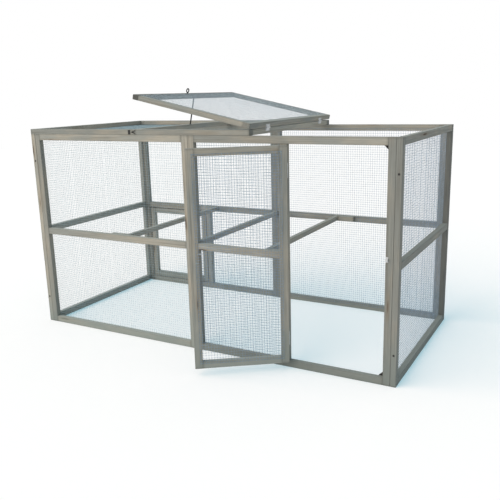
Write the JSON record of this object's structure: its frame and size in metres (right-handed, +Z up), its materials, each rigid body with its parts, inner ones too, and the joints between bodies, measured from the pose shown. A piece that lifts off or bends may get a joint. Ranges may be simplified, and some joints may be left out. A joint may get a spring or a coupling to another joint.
{
  "type": "outdoor rabbit run",
  "caption": "Tall outdoor pet run of weathered timber frames with welded mesh, a hinged roof lid on a prop stay, a side-hung front door and a low rear hatch.",
  "frame": {"origin": "on the ground under the middle of the front wall, at half its thickness", "axes": "+X to the right along the front wall, +Y from the front wall to the back wall, +Z up"},
  "size_m": [2.025, 1.2361, 1.2769],
  "materials": {
    "timber": "weathered, matte",
    "net": "galvanised, dull",
    "zinc_fittings": "zinc plated, satin",
    "black_fittings": "black, satin"
  },
  "bodies": {
    "frame": {"front_left_stiles": "timber", "front_left_rails": "timber", "front_left_net": "net", "front_right_stiles": "timber", "front_right_rails": "timber", "hinge_post": "timber", "front_right_net": "net", "back_left_stiles": "timber", "back_left_rails": "timber", "hatch_post": "timber", "back_left_upper_net": "net", "back_left_lower_net": "net", "back_right_stiles": "timber", "back_right_rails": "timber", "back_right_net": "net", "left_end_stiles": "timber", "left_end_rails": "timber", "left_end_net": "net", "right_end_stiles": "timber", "right_end_rails": "timber", "right_end_net": "net", "cross_bar_left": "timber", "cross_bar_middle": "timber", "cross_bar_right": "timber", "bar_cleats": "timber", "roof_long_rails": "timber", "roof_short_rails": "timber", "roof_cross_rail": "timber", "roof_net": "net", "lid_hinge_roof_leaves": "zinc_fittings", "catch_plate": "black_fittings", "door_hinge_post_leaves": "zinc_fittings", "door_keeper": "zinc_fittings", "hatch_hinge_frame_leaves": "zinc_fittings", "hatch_keeper": "zinc_fittings", "hinge_pins": "zinc_fittings", "corner_stops": "black_fittings", "panel_screws": "black_fittings"},
    "door": {"door_stiles": "timber", "door_rails": "timber", "door_net": "net", "door_hinge_door_leaves": "zinc_fittings", "door_bolt_case": "zinc_fittings"},
    "door_bolt": {"door_bolt": "zinc_fittings"},
    "lid": {"lid_long_rails": "timber", "lid_short_rails": "timber", "lid_net": "net", "lid_pull_ring": "black_fittings", "stay_bracket": "black_fittings", "stay_pin": "zinc_fittings", "lid_hinge_lid_leaves": "zinc_fittings"},
    "lid_stay": {"lid_stay": "black_fittings"},
    "catch_hook": {"catch_hook": "black_fittings"},
    "hatch": {"hatch_stiles": "timber", "hatch_rails": "timber", "hatch_net": "net", "hatch_hinge_hatch_leaves": "zinc_fittings", "hatch_bolt_case": "zinc_fittings"},
    "hatch_bolt": {"hatch_bolt": "zinc_fittings"}
  },
  "joints": [
    {"name": "door_hinge", "type": "hinge", "parent": "frame", "child": "door", "pos_m": [0.5125, -0.0165, 0.53], "axis": [0, 0, 1], "range_deg": [-20, 145]},
    {"name": "door_bolt_slide", "type": "slide", "parent": "door", "child": "door_bolt", "axis": [-0.8192, -0.5736, 0], "range_m": [0, 0.018]},
    {"name": "lid_hinge", "type": "hinge", "parent": "frame", "child": "lid", "pos_m": [0.332, 0.457, 1.0865], "axis": [0, 1, 0], "range_deg": [-12.4, 161.6]},
    {"name": "stay_fold", "type": "hinge", "parent": "lid", "child": "lid_stay", "pos_m": [-0.2638, 0.457, 1.23132], "axis": [0, -1, 0], "range_deg": [0, 88]},
    {"name": "catch_turn", "type": "hinge", "parent": "frame", "child": "catch_hook", "pos_m": [-0.3185, -0.0165, 1.0725], "axis": [0, -1, 0], "range_deg": [0, 90]},
    {"name": "hatch_hinge", "type": "hinge", "parent": "frame", "child": "hatch", "pos_m": [-0.951, 0.9305, 0.282], "axis": [0, 0, 1], "range_deg": [0, 110]},
    {"name": "hatch_bolt_slide", "type": "slide", "parent": "hatch", "child": "hatch_bolt", "axis": [1, 0, 0], "range_m": [0, 0.018]}
  ]
}
